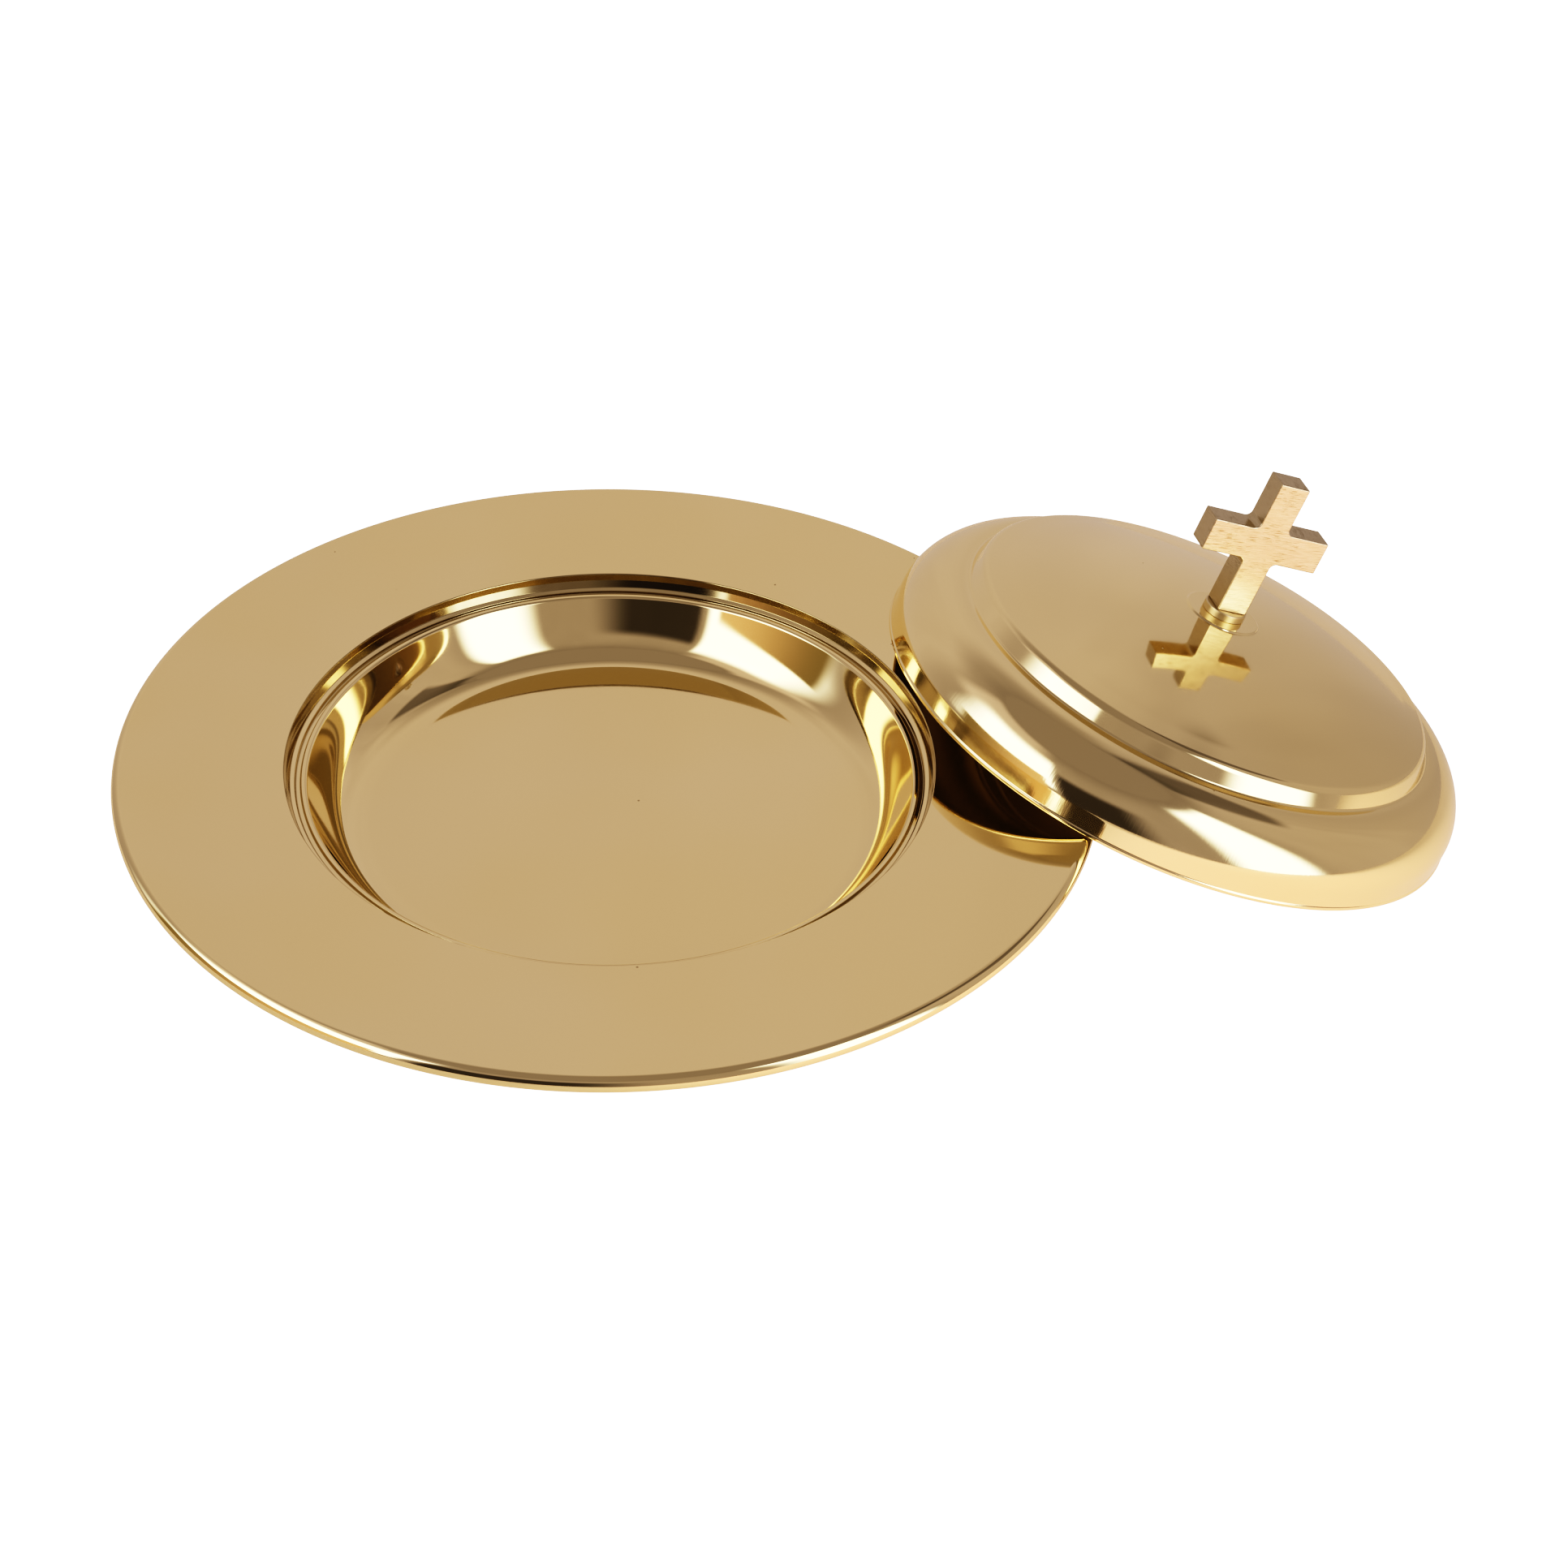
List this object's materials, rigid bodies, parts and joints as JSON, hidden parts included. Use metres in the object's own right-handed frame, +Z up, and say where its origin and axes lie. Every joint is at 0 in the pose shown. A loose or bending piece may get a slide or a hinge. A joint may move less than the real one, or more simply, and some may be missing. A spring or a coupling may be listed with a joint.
{
  "type": "communion bread plate",
  "caption": "Wide-rimmed polished metal bread plate on a stacking base ring, with its low domed cover, topped by a plain Latin cross, leaning on the rim.",
  "frame": {"origin": "in the table plane, under the middle of the object's bounding box; the plate's own axis is at x = -52.63 mm, y = 0", "axes": "+Z up; +X from the plate towards the leaning cover, the object's longest side; +Y away from the viewer"},
  "size_m": [0.3592, 0.254, 0.1009],
  "materials": {
    "plate_gold": "mirror polished gold tone",
    "base_gold": "polished gold tone",
    "cover_gold": "mirror polished gold tone, faint brush marks on the side",
    "collar_gold": "polished gold tone",
    "cross_brushed": "brushed gold tone",
    "fixing_steel": "zinc plated steel"
  },
  "bodies": {
    "plate": {"plate_shell": "plate_gold", "stacking_base_ring": "base_gold"},
    "cover": {"cover_shell": "cover_gold", "finial_collar": "collar_gold", "cross_finial": "cross_brushed", "flat_washer": "fixing_steel", "fixing_screw": "fixing_steel"}
  },
  "joints": [
    {"name": "cover_lift", "type": "slide", "parent": "plate", "child": "cover", "axis": [0, 0, 1], "range_m": [0, 0.12]}
  ]
}
